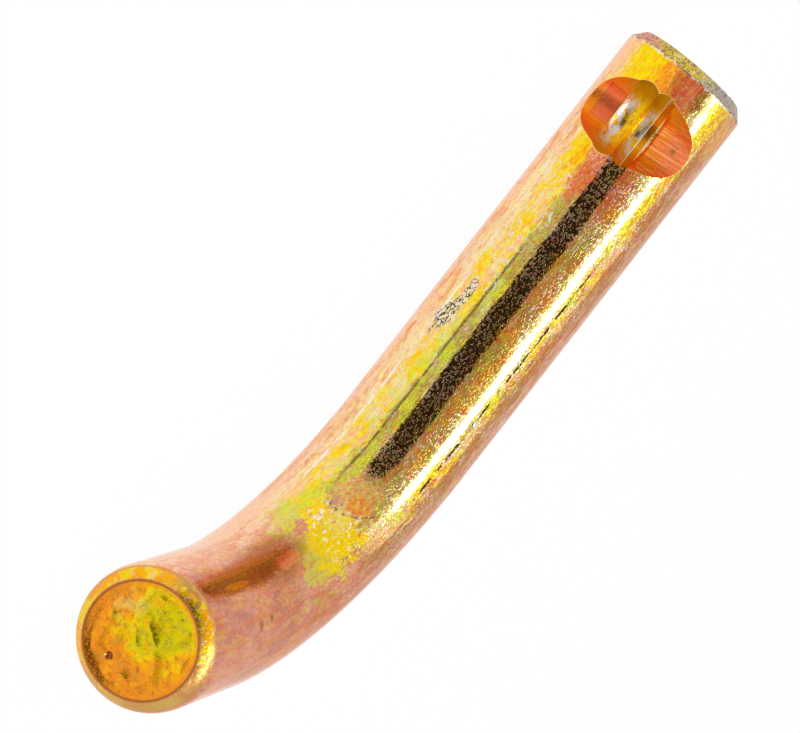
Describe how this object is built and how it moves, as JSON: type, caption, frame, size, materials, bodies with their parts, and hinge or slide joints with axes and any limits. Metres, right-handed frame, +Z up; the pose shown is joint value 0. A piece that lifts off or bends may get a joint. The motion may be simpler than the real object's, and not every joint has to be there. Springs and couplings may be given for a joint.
{
  "type": "height adjustment pin",
  "caption": "Solid round steel pin bent at one end into a short handle, with bevelled ends and a half-round notch across the shank near its tip; it locks a sliding post at a set height.",
  "frame": {"origin": "on the shank's axis, where the straight shank meets the bend", "axes": "+X along the shank towards its tip, +Y to the side that the handle and the notch's mouth face, +Z up as the pin lies flat"},
  "size_m": [0.0749, 0.0373, 0.0126],
  "materials": {
    "plated_steel": "bright zinc plate with a yellow iridescent passivate, scuffed"
  },
  "bodies": {
    "root": {"pin": "plated_steel"}
  },
  "joints": []
}
